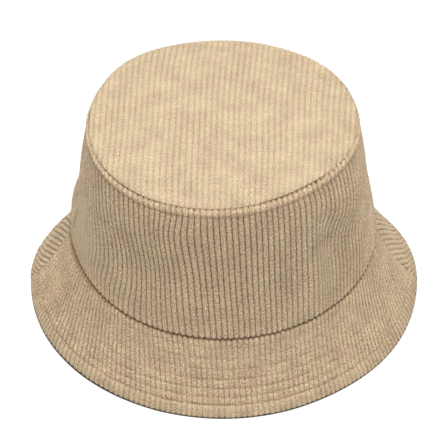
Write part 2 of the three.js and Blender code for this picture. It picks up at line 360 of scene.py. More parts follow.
class SectorCut:
    """A panel cut as a sector of a ring. The wales lie parallel, at a lean from its centre line."""

    def __init__(self, curve, upper_arc, lower_arc, half_angle=None, lean_degrees=0.0):
        self.half_angle = half_angle or (lower_arc - upper_arc) / curve.length / 2
        self.upper_radius = (lower_arc + upper_arc) / 4 / self.half_angle - curve.length / 2
        self.lower_radius = self.upper_radius + curve.length
        self.lean = math.radians(lean_degrees)

    def at(self, distance, local):
        """Across and along the wales, for an angle round the hat from the panel's centre."""
        radius = self.upper_radius + distance
        angle = local / QUARTER_TURN * self.half_angle - self.lean
        middle = (self.upper_radius + self.lower_radius) / 2 * math.sin(self.lean)
        return radius * np.sin(angle) + middle, radius * np.cos(angle) - self.upper_radius

    def flat(self):
        """Width and length of the cut, then its area, in metres."""
        width = 2 * self.lower_radius * math.sin(self.half_angle)
        length = self.lower_radius - self.upper_radius * math.cos(self.half_angle)
        area = self.half_angle * (self.lower_radius ** 2 - self.upper_radius ** 2)
        return (width * MM, length * MM), area * MM ** 2


BAND_ARCS = (half_arc(TIP_RADIUS, 0), half_arc(HEAD_RADIUS, OVAL))
BRIM_ARCS = (half_arc(HEAD_RADIUS, OVAL), half_arc(BRIM_RADIUS, 0))
BAND_CUTS = {
    "front": SectorCut(BAND_CURVE, *BAND_ARCS, lean_degrees=3.6),
    "back": SectorCut(BAND_CURVE, *BAND_ARCS),
}
# The back of the brim is cut as a wider ring sector than the front and eased in.
BRIM_CUTS = {
    "front": SectorCut(BRIM_CURVE, *BRIM_ARCS, lean_degrees=2.0),
    "back": SectorCut(BRIM_CURVE, *BRIM_ARCS, half_angle=math.radians(52), lean_degrees=-3.0),
}


def wale_profile(across):
    """Height of the pile, 0 in the groove between wales and 1 on a ridge."""
    return (np.cos(math.pi * across / WALE_PITCH) ** 2 + GROOVE_ROUNDING) ** WALE_FULLNESS


# ---- Meshes ----

CLOTH_SHARP = 66  # cloth and thread shade smoothly over edges blunter than this
THREAD_SHARP = 80


def new_object(name, data):
    made = bpy.data.objects.new(name, data)
    bpy.context.scene.collection.objects.link(made)
    return made


def finish_mesh(name, slot, vertices, faces, attributes, sharp_degrees):
    """A piece of the hat, which stands for the CAD node of its name.

    It comes from its points, its faces and the vectors that each point carries.
    """
    mesh = bpy.data.meshes.new(name)
    mesh.from_pydata(vertices.reshape(-1, 3) * MM, [], faces)
    for key, vectors in attributes.items():
        layer = mesh.attributes.new(key, "FLOAT_VECTOR", "POINT")
        layer.data.foreach_set("vector", np.asarray(vectors, np.float32).ravel())
    mesh.shade_smooth()
    mesh.set_sharp_from_angle(angle=math.radians(sharp_degrees))
    mesh.materials.append(MATERIALS[slot])
    piece = new_object(name, mesh)
    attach(piece, "root")
    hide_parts(name)
    return piece


def grid_mesh(name, slot, points, attributes):
    """A closed body from rows of points that go down its outside and up its inside.

    points is rows by columns by 3. A face closes each end.
    """
    rows, columns = points.shape[:2]
    index = np.arange(rows * columns).reshape(rows, columns)
    below = np.roll(index, -1, axis=0)
    faces = np.stack([index[:, :-1], below[:, :-1], below[:, 1:], index[:, 1:]], axis=-1)
    faces = faces.reshape(-1, 4).tolist()
    faces.append(index[::-1, 0].tolist())
    faces.append(index[:, -1].tolist())
    return finish_mesh(name, slot, points, faces, attributes, CLOTH_SHARP)


def ring_faces(rings, sides):
    """Faces between rings of points, and one across each end."""
    index = np.arange(rings * sides).reshape(rings, sides)
    turned_on = np.roll(index, -1, axis=1)
    faces = np.stack([index[:-1], index[1:], turned_on[1:], turned_on[:-1]], axis=-1)
    return faces.reshape(-1, 4).tolist() + [index[0].tolist(), index[-1, ::-1].tolist()]


def dome_mesh(name, slot, points, attributes):
    """A closed disc from rings of points that go out over its top and back under it."""
    return finish_mesh(name, slot, points, ring_faces(*points.shape[:2]), attributes, CLOTH_SHARP)


def join_rows(*parts):
    return np.concatenate([np.asarray(part, float) for part in parts])


def column(values):
    """One value for each row of a panel."""
    return np.asarray(values, float)[:, None]


def grain_of(across, along, drawn):
    """Flat cut coordinates. The third is across again, as the wales have moved with the cloth."""
    return np.stack(np.broadcast_arrays(across, along, drawn), axis=-1)


# ---- Stitches ----

STITCH_LENGTH = 3.0
STITCH_COVER = 0.84  # share of its pitch that the thread of one stitch covers
THREAD_RADIUS = 0.26
STITCH_SIDES = 8
STITCH_RINGS = 7
STITCH_SINK = 0.32  # how far a stitch's ends go down into the cloth
LABEL_STITCH_LENGTH = 2.4
GIRTH_SAMPLES = 361


def stitch_template():
    """One stitch along X, bent down into the cloth at both ends, and the angle round its thread."""
    share = np.sin(np.linspace(-QUARTER_TURN, QUARTER_TURN, STITCH_RINGS + 2)[1:-1])[:, None]
    angle = np.linspace(0, 2 * math.pi, STITCH_SIDES, endpoint=False)
    thickness = THREAD_RADIUS * (1 - share ** 4) ** 0.5
    along, around = np.broadcast_arrays(share, angle)
    side = thickness * np.cos(angle)
    rise = thickness * np.sin(angle) - STITCH_SINK * share ** 2
    return np.stack([along, side, rise], axis=-1).reshape(-1, 3), around.ravel()


def thread_mesh(name, slot, rows):
    """Rows of stitches as one piece. Each row gives its stitches' centres, tangents and normals."""
    template, around = stitch_template()
    template_faces = ring_faces(STITCH_RINGS, STITCH_SIDES)
    vertices, faces, twist = [], [], []
    for centres, tangents, normals, length in rows:
        stitch = template * (length * STITCH_COVER / 2, 1, 1)
        coordinates = grain_of(around * THREAD_RADIUS, stitch[:, 0], 0 * around)
        sideways = np.cross(normals, tangents)
        for centre, *axes in zip(centres, tangents, sideways, normals):
            first = len(vertices) * len(template)
            faces.extend([[corner + first for corner in face] for face in template_faces])
            vertices.append(centre + stitch @ np.array(axes))
            twist.append(coordinates)
    attributes = {"grain": np.concatenate(twist)}
    return finish_mesh(name, slot, np.concatenate(vertices), faces, attributes, THREAD_SHARP)


def unit(vectors):
    return vectors / np.linalg.norm(vectors, axis=-1, keepdims=True)


def round_tangent(curve, distance, depth, phi, turn=0.002):
    """Unit vectors round the hat."""
    ahead = place(curve, distance, depth, phi + turn)
    return unit(ahead - place(curve, distance, depth, phi - turn))


def down_tangent(curve, distance, depth, phi, step=0.2):
    """Unit vectors down a curve."""
    below = place(curve, distance + step, depth, phi)
    return unit(below - place(curve, distance - step, depth, phi))


def stitch_row(curve, distance, depth, outward):
    """Stitches round the hat at a distance down a curve, on its outside (1) or inside (-1)."""
    ring = place(curve, distance, depth, np.linspace(0, 2 * math.pi, GIRTH_SAMPLES))
    girth = np.linalg.norm(np.diff(ring, axis=0), axis=1).sum()
    count = round(girth / STITCH_LENGTH)
    phi = 2 * math.pi * (np.arange(count) + 0.5) / count
    centres = place(curve, distance, depth, phi)
    tangents = round_tangent(curve, distance, depth, phi)
    normals = outward * unit(np.cross(down_tangent(curve, distance, depth, phi), tangents))
    return centres, tangents, normals, girth / count


def stitch_line(curve, from_distance, to_distance, depth, phi):
    """Stitches down the inside of the hat at one angle."""
    length = to_distance - from_distance
    count = round(length / LABEL_STITCH_LENGTH)
    distance = from_distance + length * (np.arange(count) + 0.5) / count
    centres = place(curve, distance, depth, phi)
    tangents = down_tangent(curve, distance, depth, phi)
    normals = unit(np.cross(round_tangent(curve, distance, depth, phi), tangents))
    return centres, tangents, normals, length / count


# ---- Materials ----

def set_inputs(tree, node, inputs):
    """Links or sets inputs of a node."""
    for key, value in inputs.items():
        if isinstance(value, bpy.types.NodeSocket):
            tree.links.new(value, node.inputs[key])
        else:
            node.inputs[key].default_value = value


def add(tree, kind, inputs=None, **settings):
    """A node with its settings and inputs."""
    node = tree.nodes.new(kind)
    for key, value in settings.items():
        setattr(node, key, value)
    set_inputs(tree, node, inputs or {})
    return node


def colour_mix(tree, blend, factor, first, second):
    """Mixes two colours, each a socket or an RGB tuple."""
    first, second = ((*value, 1) if isinstance(value, tuple) else value for value in (first, second))
    settings = {"data_type": "RGBA", "blend_type": blend}
    return add(tree, "ShaderNodeMix", {0: factor, 6: first, 7: second}, **settings).outputs[2]


def spread(tree, value, low, high):
    """A value of 0 to 1 mapped to a range."""
    node = add(tree, "ShaderNodeMapRange", {"Value": value, "To Min": low, "To Max": high})
    return node.outputs["Result"]


def new_material(name, roughness, sheen, sheen_roughness=0.4, tint=(1, 1, 1)):
    material = bpy.data.materials.new(name)
    material.use_nodes = True
    tree = material.node_tree
    shader = tree.nodes["Principled BSDF"]
    set_inputs(tree, shader, {
        "Roughness": roughness, "Specular IOR Level": 0.25, "Sheen Weight": sheen,
        "Sheen Roughness": sheen_roughness, "Sheen Tint": (*tint, 1),
    })
    return material, tree, shader


def attribute(tree, name):
    """A vector that each point of a mesh carries."""
    return add(tree, "ShaderNodeAttribute", attribute_name=name).outputs["Vector"]


def scaled(tree, vector, scale):
    inputs = {0: vector, 1: scale}
    return add(tree, "ShaderNodeVectorMath", inputs, operation="MULTIPLY").outputs["Vector"]


def turned(tree, vector, degrees):
    inputs = {"Vector": vector, "Rotation": (0, 0, math.radians(degrees))}
    return add(tree, "ShaderNodeMapping", inputs).outputs["Vector"]


def grey(tree, value):
    """A colour whose three channels are one value."""
    inputs = {"Red": value, "Green": value, "Blue": value}
    return add(tree, "ShaderNodeCombineColor", inputs).outputs["Color"]


def math_node(tree, operation, first, second=0.0):
    inputs = {0: first, 1: second}
    return add(tree, "ShaderNodeMath", inputs, operation=operation).outputs["Value"]


def tone_ramp(tree, value, stops):
    """A colour ramp through (position, colour) stops."""
    ramp = add(tree, "ShaderNodeValToRGB", {"Fac": value})
    elements = ramp.color_ramp.elements
    while len(elements) < len(stops):
        elements.new(0.5)
    for element, (position, colour) in zip(elements, stops):
        element.position = position
        element.color = (*colour, 1)
    return ramp.outputs["Color"]


def noise(tree, vector, scale, detail=2.0, rough=0.55):
    inputs = {"Vector": vector, "Scale": scale, "Detail": detail, "Roughness": rough}
    return add(tree, "ShaderNodeTexNoise", inputs).outputs["Fac"]


def finish_material(tree, shader, colour, height, strength, distance):
    bump = add(tree, "ShaderNodeBump", {"Height": height, "Strength": strength, "Distance": distance})
    set_inputs(tree, shader, {"Base Color": colour, "Normal": bump.outputs["Normal"]})


# Corduroy tones. The groove and flank tones are the bare ground and the wales' sides darkened with
# painted shade, and the crest is the lightest. The pale tone is partly rubbed cloth and partly painted
# highlight. The brushed tones have lighter hollows, with less painted shade.
CORDUROY_GROUND_IN_SHADE = (0.155, 0.092, 0.040)
CORDUROY_FLANK = (0.352, 0.245, 0.142)
CORDUROY_RIDGE = (0.528, 0.394, 0.260)
CORDUROY_CREST = (0.578, 0.440, 0.300)
CORDUROY_RUB_AND_HIGHLIGHT = (0.750, 0.560, 0.365)
BRUSHED_HOLLOW = (0.470, 0.365, 0.237)
BRUSHED_RIDGE = (0.537, 0.420, 0.276)
BRUSHED_CREST = (0.575, 0.454, 0.302)


def wale_distance(tree, drawn, wobble):
    """0 in the groove between two wales, 1 on the crest of a wale."""
    moved = math_node(tree, "ADD", drawn, spread(tree, wobble, -0.35, 0.35))
    phase = math_node(tree, "FRACT", math_node(tree, "DIVIDE", moved, WALE_PITCH))
    off_centre = math_node(tree, "SUBTRACT", phase, 0.5)
    return math_node(tree, "MULTIPLY", math_node(tree, "ABSOLUTE", off_centre), 2.0)


def corduroy_tone(tree, wale, pile_and_shade, plain, rub_and_highlight):
    """From groove to crest with painted shade in the grooves, flatter where brushed, pale where rubbed
    and where highlight is painted, dark where the ground is bare and where shade is painted.
    """
    striped = tone_ramp(tree, wale, (
        (0.02, CORDUROY_GROUND_IN_SHADE), (0.15, CORDUROY_FLANK), (0.32, CORDUROY_RIDGE), (0.9, CORDUROY_CREST),
    ))
    brushed = tone_ramp(tree, wale, (
        (0.05, BRUSHED_HOLLOW), (0.45, BRUSHED_RIDGE), (0.9, BRUSHED_CREST),
    ))
    colour = colour_mix(tree, "MIX", plain, striped, brushed)
    colour = colour_mix(tree, "MIX", rub_and_highlight, colour, CORDUROY_RUB_AND_HIGHLIGHT)
    return colour_mix(tree, "MIX", pile_and_shade, CORDUROY_GROUND_IN_SHADE, colour)


def corduroy_shade(tree, cloth, tufts, plain):
    """Light and dark tufts, fainter where the pile is brushed, and soft patches."""
    contrast = spread(tree, plain, 3.0, 1.3)
    tuft = math_node(tree, "MULTIPLY", math_node(tree, "SUBTRACT", tufts, 0.5), contrast)
    patch = spread(tree, noise(tree, cloth, 0.065, 4.0, 0.65), 0.60, 1.40)
    return grey(tree, math_node(tree, "MULTIPLY", math_node(tree, "ADD", tuft, 1.0), patch))


def corduroy_material():
    """Pile on ridges, bare ground darkened with painted shade in the grooves, tufts, soft patches,
    painted shade in seams and creases, and pale edges and places, partly rubbed and partly painted
    highlight.
    """
    material, tree, shader = new_material("corduroy", 0.92, 0.20, 0.45, (1.0, 0.86, 0.62))
    look = add(tree, "ShaderNodeSeparateXYZ", {"Vector": attribute(tree, "look")})
    pile_and_shade, plain, rub_and_highlight = (look.outputs[axis] for axis in "XYZ")
    grain = attribute(tree, "grain")
    drawn = add(tree, "ShaderNodeSeparateXYZ", {"Vector": grain}).outputs["Z"]
    cloth = scaled(tree, grain, (1.0, 1.0, 0.0))
    wale = wale_distance(tree, drawn, noise(tree, cloth, 0.45, 3.0, 0.7))
    tufts = noise(tree, scaled(tree, grain, (1.0, 0.7, 0.0)), 1.15, 2.0, 0.8)
    frayed = math_node(tree, "ADD", wale, spread(tree, tufts, -0.16, 0.16))
    warmth = tone_ramp(tree, noise(tree, cloth, 0.06, 1.0), (
        (0.30, (1.03, 0.99, 1.0)), (0.50, (1.0, 1.0, 0.98)), (0.70, (0.98, 1.0, 0.97)),
    ))
    colour = corduroy_tone(tree, frayed, pile_and_shade, plain, rub_and_highlight)
    for tint in (corduroy_shade(tree, cloth, tufts, plain), warmth):
        colour = colour_mix(tree, "MULTIPLY", 1.0, colour, tint)
    fibres = noise(tree, scaled(tree, grain, (1.0, 0.6, 0.0)), 2.4, 4.0, 0.65)
    finish_material(tree, shader, colour, fibres, 0.8, 0.35 * MM)
    return material


def thread_material(name, dark, light):
    """Two-ply sewing thread: slanting plies and a little fuzz."""
    material, tree, shader = new_material(name, 0.65, 0.25)
    grain = attribute(tree, "grain")
    inputs = {"Vector": turned(tree, grain, 35), "Scale": 0.62, "Distortion": 0.4}
    plies = add(tree, "ShaderNodeTexWave", inputs).outputs["Fac"]
    tone = colour_mix(tree, "MIX", plies, dark, light)
    colour = colour_mix(tree, "MULTIPLY", 0.5, tone, grey(tree, noise(tree, grain, 6.0)))
    finish_material(tree, shader, colour, plies, 0.6, 0.1 * MM)
    return material


def woven_material(name, dark, light, pitch, slant_degrees, roughness, sheen, distortion=0.6):
    """Cloth whose ribs or twill lines run at a slant, with uneven yarns and faint soiling."""
    material, tree, shader = new_material(name, roughness, sheen)
    grain = attribute(tree, "grain")
    ribs = add(tree, "ShaderNodeTexWave", {
        "Vector": turned(tree, grain, slant_degrees), "Scale": 2 * math.pi / 20 / pitch,
        "Distortion": distortion, "Detail": 2.0,
    }).outputs["Fac"]
    yarns = spread(tree, noise(tree, scaled(tree, grain, (1.0, 0.35, 1.0)), 1.3, 3.0, 0.7), 0.7, 1.3)
    blotch = spread(tree, noise(tree, grain, 0.05, 3.0), 0.80, 1.20)
    tone = colour_mix(tree, "MIX", ribs, dark, light)
    uneven = grey(tree, math_node(tree, "MULTIPLY", yarns, blotch))
    colour = colour_mix(tree, "MULTIPLY", 1.0, tone, uneven)
    finish_material(tree, shader, colour, ribs, 0.5, 0.12 * MM)
    return material


def fleece_material():
    """Off-white nonwoven stiffener: matted fibres with no direction."""
    material, tree, shader = new_material("interlining", 0.9, 0.1)
    fibres = noise(tree, attribute(tree, "grain"), 1.4, 5.0, 0.8)
    colour = colour_mix(tree, "MIX", fibres, (0.66, 0.64, 0.58), (0.86, 0.84, 0.80))
    finish_material(tree, shader, colour, fibres, 0.7, 0.2 * MM)
    return material


MATERIALS = {"corduroy": corduroy_material(), "interlining": fleece_material()}
# Dark and light yarn, pitch in millimetres, slant in degrees, roughness, sheen and distortion.
for cloth_name, *tones_and_weave in (
    ("under_cloth", (0.040, 0.034, 0.024), (0.095, 0.082, 0.060), 0.75, 62, 0.85, 0.12),
    ("lining_cloth", (0.050, 0.041, 0.028), (0.088, 0.074, 0.052), 0.45, 0, 0.6, 0.15),
    ("sweatband_cloth", (0.060, 0.046, 0.030), (0.145, 0.115, 0.078), 1.0, 0, 0.75, 0.15, 0.15),
    ("label_cloth", (0.70, 0.68, 0.62), (0.84, 0.82, 0.77), 0.35, 90, 0.4, 0.1),
):
    MATERIALS[cloth_name] = woven_material(cloth_name, *tones_and_weave)
for thread_name, *tones in (
    ("topstitch_thread", (0.42, 0.32, 0.19), (0.74, 0.60, 0.40)),
    ("sweatband_thread", (0.10, 0.08, 0.05), (0.24, 0.19, 0.13)),
    ("label_thread", (0.55, 0.53, 0.48), (0.85, 0.83, 0.78)),
):
    MATERIALS[thread_name] = thread_material(thread_name, *tones)


# ---- Panels ----

HALVES = (("front", 0.0), ("back", math.pi))
PANEL_END = QUARTER_TURN - 0.0004  # a half panel stops just short of the side seam
SEAM_DIP = 0.6  # how deep a side seam draws the cloth in
SEAM_DIP_WIDTH = 1.2
INNER_LOOK = (0.4, 0.5)  # pile and plainness of the corduroy's hidden side


def side_seam_dip(local, radius):
    """Depth of the dent along the side seams."""
    distance = (QUARTER_TURN - np.abs(local)) * radius
    return SEAM_DIP * np.exp(-distance / SEAM_DIP_WIDTH)


def plain_panel(name, slot, curve, cut, distance, depth, local, turn):
    """Half of a ring of cloth without wales."""
    across, along = cut.at(distance, local)
    points = place(curve, distance, depth, local + turn)
    return grid_mesh(name, slot, points, {"grain": grain_of(across, along, across)})


def look_of(pile_and_shade, plain, rub_and_highlight):
    """The first is 1 where the ridges are full and lower where shade is painted, plain is 1 where no
    grooves show, and the third is 1 where pale, partly rubbed and partly painted highlight.
    """
    pile_and_shade, plain, rub_and_highlight = np.broadcast_arrays(pile_and_shade, plain, rub_and_highlight)
    return np.stack([pile_and_shade, plain, rub_and_highlight], axis=-1)


def lay_out(cut, turn, columns, level_rows, edge, turned_in):
    """The points of a panel's outer face, round and down the hat and in the flat cut.

    turned_in gives the last rows, each as its distance above the edge and its depth.
    """
    rises, depths = np.array(turned_in).T
    level = join_rows(*level_rows)
    face = SimpleNamespace(local=np.linspace(-PANEL_END, PANEL_END, columns))
    face.phi = face.local + turn
    face.distance = column(join_rows(level, edge - rises))
    face.nose = column(join_rows(0 * level, depths))
    face.across, face.along = cut.at(face.distance, face.local)
    return face


def corduroy_panel(name, curve, cut, face, back_distance, back_depth):
    """Half of a ring of corduroy, from its outer face and the rows up its inner face."""
    back_distance = column(back_distance) + 0 * face.local
    back_depth = column(back_depth) + 0 * face.local
    back_across, back_along = cut.at(back_distance, face.local)
    points = place(
        curve, join_rows(face.distance + face.scallop, back_distance),
        join_rows(face.depth, back_depth), face.phi,
    )
    piece = grid_mesh(name, "corduroy", points, {
        "look": join_rows(face.look, look_of(*INNER_LOOK, 0 * back_depth)),
        "grain": join_rows(
            grain_of(face.across, face.along, face.drawn),
            grain_of(back_across, back_along, back_across),
        ),
    })
    cut.flat()


BAND_COLUMNS = 1240
BAND_RELIEF = 0.85
BAND_START = 0.6  # the side band's cloth turns in this far below the tip seam
BAND_FOOT = ((2.2, 0), (1.5, 0), (0.9, 0.05), (0.4, 0.25), (0.0, 0.7), (-0.2, 1.2))


def band_face(side, turn):
    """The outer face of half of the side band."""
    foot = BAND_CURVE.length
    level_rows = np.linspace(BAND_START, 9, 24), np.linspace(10, foot - 3, 50)
    face = lay_out(BAND_CUTS[side], turn, BAND_COLUMNS, level_rows, foot, BAND_FOOT)
    height = BAND_CURVE.at(face.distance, 0)[1]
    face.share = crown_share(height)
    gathered = wale_gather(f"band_{side}", face.local)
    face.drawn = face.across + wale_draw(face.phi, height) + gathered
    face.wale = wale_profile(face.drawn)
    plain = patches(face.phi, face.share, BRUSHED) + 0.12 * near(face.phi, *CALM_SIDE)
    face.plain = np.clip(plain, 0, 0.95)
    face.row = bump_at(face.distance, TIP_STITCH_DROP, 0.75)
    face.pinch = patches(face.phi, face.share, PINCH)
    face.tuck = near(face.phi, *TUCK) * bump_at(face.distance, 1.5, 1.6)
    face.closed = 0.35 * near(face.phi, *CLOSED_SEAM)
    return face


def band_depth(face):
    """How far the face lies under the skin."""
    relief = BAND_RELIEF * (1 + 0.12 * ripple(face.across, face.along, 18, 21)) * (1 - 0.6 * face.plain)
    relief = relief * (1 + patches(face.phi, face.share, HIGH_WALES))
    relief = relief * (1 - 0.4 * bump_at(face.distance, TIP_STITCH_DROP, 1.6))
    puff = 0.60 * bump_at(face.distance, 3.3, 1.8)
    puff = puff + 0.45 * bump_at(face.distance, BAND_CURVE.length, 3.0)
    at_seam = bump_at(face.distance, BAND_START, 0.8) * (1 - 0.45 * face.wale)
    return (
        0.55 - relief * face.wale - puff + 0.30 * face.row + 0.9 * at_seam + face.nose
        + 1.1 * face.tuck + 0.7 * face.pinch + side_seam_dip(face.local, HEAD_RADIUS)
    )


def band_scallop(face):
    """How far the wales' ends stand out past the foot and the tip seam."""
    at_foot = 0.9 * (face.wale - 0.6) * bump_at(face.distance, BAND_CURVE.length + 0.2, 1.2)
    at_seam = (0.5 * (face.wale - 0.3) + face.closed) * bump_at(face.distance, BAND_START, 0.8)
    return at_foot - at_seam


def band_look(face):
    """Painted shade along its tip seam, less where that closes, in its stitch row, tuck, pinch and
    darkest grooves and under its foot; painted highlight on the raised strip above the stitch row and
    on its lower part; paler at one side.
    """
    # Painted shade in the tip seam, stitch row, tuck, pinch and grooves and under the foot.
    pile_and_shade = 1 - (0.45 - face.closed) * bump_at(face.distance, BAND_START, 0.35) - 0.10 * face.row
    pile_and_shade = pile_and_shade - 0.6 * face.pinch - 0.55 * face.tuck
    pile_and_shade = pile_and_shade - 0.50 * (1 - face.wale) * near(face.phi, *SHADED_GROOVES)
    pile_and_shade = pile_and_shade - 0.75 * bump_at(face.distance, BAND_CURVE.length + 0.3, 0.45)
    # Painted highlight on the raised strip above the stitch row and on the lower band; paler at one
    # side.
    rub_and_highlight = 0.95 * (0.70 + 0.30 * face.wale ** 3) * bump_at(face.distance, 3.1, 1.9)
    rub_and_highlight = rub_and_highlight + 0.19 * bump_at(face.share, 0, 0.25) + 0.38 * near(face.phi, *PALE_SIDE)
    return look_of(pile_and_shade, face.plain, rub_and_highlight)


def band_panel(side, turn):
    """Half of the crown's side band, its foot turned under over the brim."""
    face = band_face(side, turn)
    face.depth, face.scallop, face.look = band_depth(face), band_scallop(face), band_look(face)
    foot = BAND_CURVE.length
    corduroy_panel(
        f"crown_band_{side}", BAND_CURVE, BAND_CUTS[side], face,
        back_distance=[foot - 0.3, foot - 1.2, foot - 4, foot / 2, 5.0, 3.0, 1.6],
        back_depth=[1.75, 1.6, CORDUROY, CORDUROY, CORDUROY, 2.4, 3.4],
    )


TIP_COLUMNS = 1080
TIP_RELIEF = 0.48
TIP_LEAN = 0.070  # how far the tip's wales lean at its back, none at its front


def tip_cut(distance, phi):
    """Across and along the cloth for a point of the tip, then across as the wales curve."""
    x, y = distance * np.sin(phi), -distance * np.cos(phi)
    from_front = (y + TIP_RADIUS) / (2 * TIP_RADIUS)
    drawn = x - TIP_LEAN * TIP_RADIUS * from_front ** 2 + 0.45 * ripple(x, y, 70, 31)
    return x, y, drawn


def tip_panel():
    """The round top panel, its wales running front to back."""
    phi = np.linspace(0, 2 * math.pi, TIP_COLUMNS, endpoint=False)
    rim = TIP_CURVE.length
    distance = column(join_rows(
        np.linspace(0.8, rim - 4, 150), rim - np.array([3.5, 3, 2.5, 2, 1.6, 1.2, 0.8, 0.5, 0.25])
    ))
    across, along, drawn = tip_cut(distance, phi)
    wale = wale_profile(drawn)
    at_seam = bump_at(distance, rim, 0.7) * (1 - 0.45 * wale)
    relief = TIP_RELIEF * (1 + 0.15 * ripple(across, along, 22, 32))
    swell = 0.45 * bump_at(distance, rim - 4.0, 3.0) + 0.45 * ripple(across, along, 75, 33)
    depth = 0.4 - relief * wale - swell + 0.6 * at_seam
    scallop = 0.45 * (wale - 0.5) * bump_at(distance, rim - 0.25, 0.6)
    back_distance = column([rim - 0.5, rim - 1.6, rim - 3.5, rim / 2, 0.8])
    back_depth = column([0.95, 1.5, 2.0, 2.0, 2.0]) + 0 * phi
    points = place(
        TIP_CURVE, join_rows(distance + scallop, back_distance + 0 * phi),
        join_rows(depth, back_depth), phi,
    )
    # Painted shade in the tip seam.
    pile_and_shade = 1 - 0.45 * bump_at(distance, rim, 0.35) + 0 * phi
    plain = np.clip(0.86 + 0.16 * ripple(across, along, 30, 34), 0, 1)
    # Painted paler a little all over, most on the swell inside the rim.
    rub_and_highlight = 0.06 + 0.09 * bump_at(distance, rim - 3.5, 2.5)
    piece = dome_mesh("crown_tip", "corduroy", points, {
        "look": join_rows(look_of(pile_and_shade, plain, rub_and_highlight), look_of(*INNER_LOOK, 0 * back_depth)),
        "grain": join_rows(grain_of(across, along, drawn), grain_of(*tip_cut(back_distance, phi))),
    })


BRIM_COLUMNS = 1100
BRIM_RELIEF = 0.80
BRIM_EDGE = ((1.15, 0.05), (0.88, 0.16), (0.68, 0.42), (0.58, 0.80))


def row_dents(distance, width):
    """How strongly the stitch rows pull at each distance down the brim."""
    return sum(bump_at(distance, row, width) for row in BRIM_ROW_DISTANCES)


def row_strength(face):
    """The rows sink deepest at the front and back and towards the edge."""
    strength = 0.35 + 0.65 * np.cos(face.phi) ** 4
    strength = strength * (1 + 0.5 * ripple(face.across, face.along, 16, 44))
    return strength * (0.45 + 0.55 * step_at(face.distance, 0.55 * HEM_ROW, 6))


def brim_face(side, turn):
    """The outer face of half of the upper brim."""
    edge = BRIM_CURVE.length
    level_rows = (
        [-2.5, -1.0, 0.0, 0.3, 0.7, 1.2, 1.8, 2.5, 3.2, 4, 4.8], np.linspace(5.3, HEM_ROW, 100),
        np.linspace(HEM_ROW + 0.4, edge - 1.5, 17),
    )
    cut = BRIM_CUTS[side]
    face = lay_out(cut, turn, BRIM_COLUMNS, level_rows, edge, BRIM_EDGE)
    distance = face.distance
    face.outward = np.maximum(distance, 0)
    face.past_row = np.clip(distance - HEM_ROW, 0, None)
    hem_across = cut.at(distance + (HEM_TURN[side] - 1) * face.past_row, face.local)[0]
    drawn = hem_across + 0.3 * ripple(face.across, face.along, 60, 41)
    face.drawn = drawn + brim_draw(face.phi, distance) + wale_gather(f"brim_{side}", face.local)
    face.wale = wale_profile(face.drawn)
    face.strength = row_strength(face)
    face.pull = row_dents(distance, 0.62) * face.strength
    return face


def brim_depth(face):
    """How far the face lies under the skin."""
    relief = BRIM_RELIEF * (1 + 0.15 * ripple(face.across, face.along, 15, 42))
    relief = relief * (1 - 0.6 * (face.past_row > 0)) * (1 + 0.8 * near(face.phi, *BRIM_HIGH_WALES))
    relief = relief * (1 - 0.25 * np.clip(row_dents(face.distance, 1.3) * face.strength, 0, 1))
    puff = 1 - bump_at(face.past_row, 0, 2.2) + 0.2 * ripple(face.across, face.along, 9, 43)
    tucked = 1.65 * bump_at(face.outward, 0, 1.7)
    return (
        0.35 - relief * face.wale - puff + 0.30 * face.pull + tucked + face.nose
        + side_seam_dip(face.local, BRIM_RADIUS)
    )


def brim_look(face):
    """Painted shade in the crease at the headline, in the stitch rows and in the grooves at the sides,
    darker and plainer along the hem, and painted light all over that is most at the front and back and
    less past the hem row.
    """
    crease = 1.3 + 1.4 * near(face.phi, *WIDE_CREASE_SHADE)
    in_hem = step_at(face.distance, HEM_ROW + 0.8, 0.5)
    darker = near(face.phi, *BRIM_HIGH_WALES) + 0.8 * near(face.phi, *BRIM_SHADED_GROOVES)
    # Painted shade in the headline crease, the stitch rows and the side grooves; the hem is a little
    # darker.
    pile_and_shade = 1 - 0.85 * bump_at(face.outward, 0, crease) - 0.26 * np.clip(face.pull, 0, 1)
    pile_and_shade = pile_and_shade - 0.32 * (1 - face.wale) * darker - 0.11 * in_hem
    plain = 0.10 + 0.10 * np.sin(face.phi) + 0.18 * ripple(face.across, face.along, 26, 45)
    # Painted light: paler all over, most at the front and back, less past the hem row.
    rub_and_highlight = 0.10 + 0.28 * np.cos(face.phi) ** 2 - 0.20 * (1 - bump_at(face.past_row, 0, 1.5))
    return look_of(pile_and_shade, np.clip(plain + 0.45 * in_hem, 0, 1), rub_and_highlight)


def brim_top_panel(side, turn):
    """Half of the brim's upper cloth, quilted by the stitch rows and folded at its edge."""
    face = brim_face(side, turn)
    face.depth, face.look = brim_depth(face), brim_look(face)
    edge = BRIM_CURVE.length
    face.scallop = 0.8 * (face.wale - 0.7) * bump_at(face.distance, edge - 0.6, 0.9)
    corduroy_panel(
        f"brim_top_{side}", BRIM_CURVE, BRIM_CUTS[side], face,
        back_distance=[edge - 0.85, edge - 1.7, edge - 5, edge / 2, 3.0, -2.5],
        back_depth=[0.75, 1.35, CORDUROY, CORDUROY, CORDUROY, 2.75],
    )


UNDER_COLUMNS = 420
EDGE_BEAD = 0.32  # radius of the rolled edge of the under cloth
BEAD_SHOWN = (0.36, -0.60)  # its centre, up the brim from the edge and under the skin
BEAD_HIDDEN = (0.45, -0.10)  # the same where the corduroy rolls over it
BEAD_SHOWS = (-84, 42)  # it shows between these places, in degrees round the hat
BEAD_FADES = (8, 12)  # and goes behind the corduroy over about so many degrees


def bead_hiding(phi):
    """0 where the under cloth's rolled edge shows, 1 where it stays behind the corduroy."""
    turn = turn_from(phi, 0)
    hidden_before = step_at(-turn, -BEAD_SHOWS[0], BEAD_FADES[0])
    return step_at(turn, BEAD_SHOWS[1], BEAD_FADES[1]) + hidden_before


